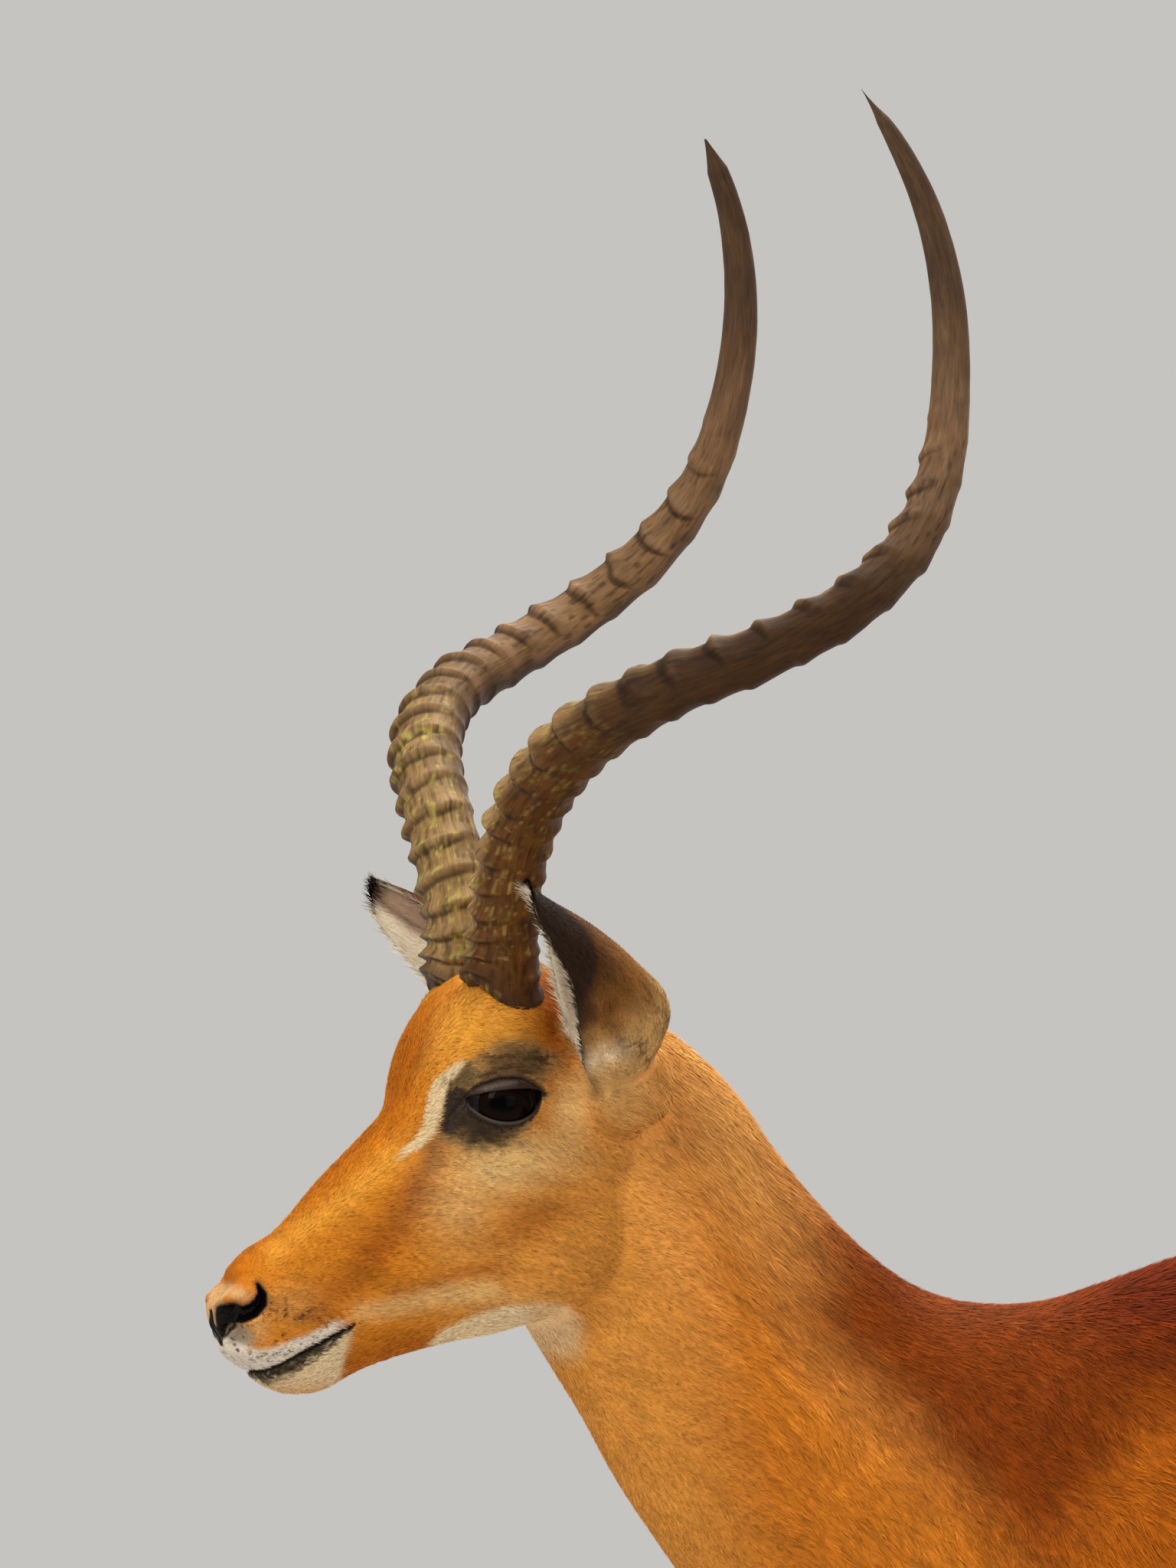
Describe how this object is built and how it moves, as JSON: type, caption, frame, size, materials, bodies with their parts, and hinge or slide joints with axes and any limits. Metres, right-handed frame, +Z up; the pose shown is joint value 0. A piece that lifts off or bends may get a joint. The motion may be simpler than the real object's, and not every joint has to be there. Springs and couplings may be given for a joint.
{
  "type": "impala antelope",
  "caption": "Life-size still model of an impala ram standing on its own hooves, head turned slightly to its left, with long ringed lyre-shaped horns and a short tan coat.",
  "frame": {"origin": "bottom centre of the bounding box, on the ground under the animal", "axes": "+Z up; the trunk lies along X and the animal faces -X; its left side is -Y"},
  "size_m": [1.2744, 0.434, 1.5231],
  "materials": {
    "coat": "short flat tan hair, darker red-brown on the back, white below",
    "ear": "short brown hair outside, white hair inside, black tip",
    "horn": "ringed grey-brown horn sheath with a smooth dark tip",
    "eye": "wet, very dark brown",
    "hoof": "smooth black hoof horn"
  },
  "bodies": {
    "root": {"head": "coat", "neck": "coat", "trunk": "coat", "tail": "coat", "foreleg_left": "coat", "foreleg_right": "coat", "hindleg_left": "coat", "hindleg_right": "coat", "ear_left": "ear", "ear_right": "ear", "horn_left": "horn", "horn_right": "horn", "eye_left": "eye", "eye_right": "eye", "claw_foreleg_left_inner": "hoof", "claw_foreleg_left_outer": "hoof", "claw_foreleg_right_inner": "hoof", "claw_foreleg_right_outer": "hoof", "claw_hindleg_left_inner": "hoof", "claw_hindleg_left_outer": "hoof", "claw_hindleg_right_inner": "hoof", "claw_hindleg_right_outer": "hoof"}
  },
  "joints": []
}
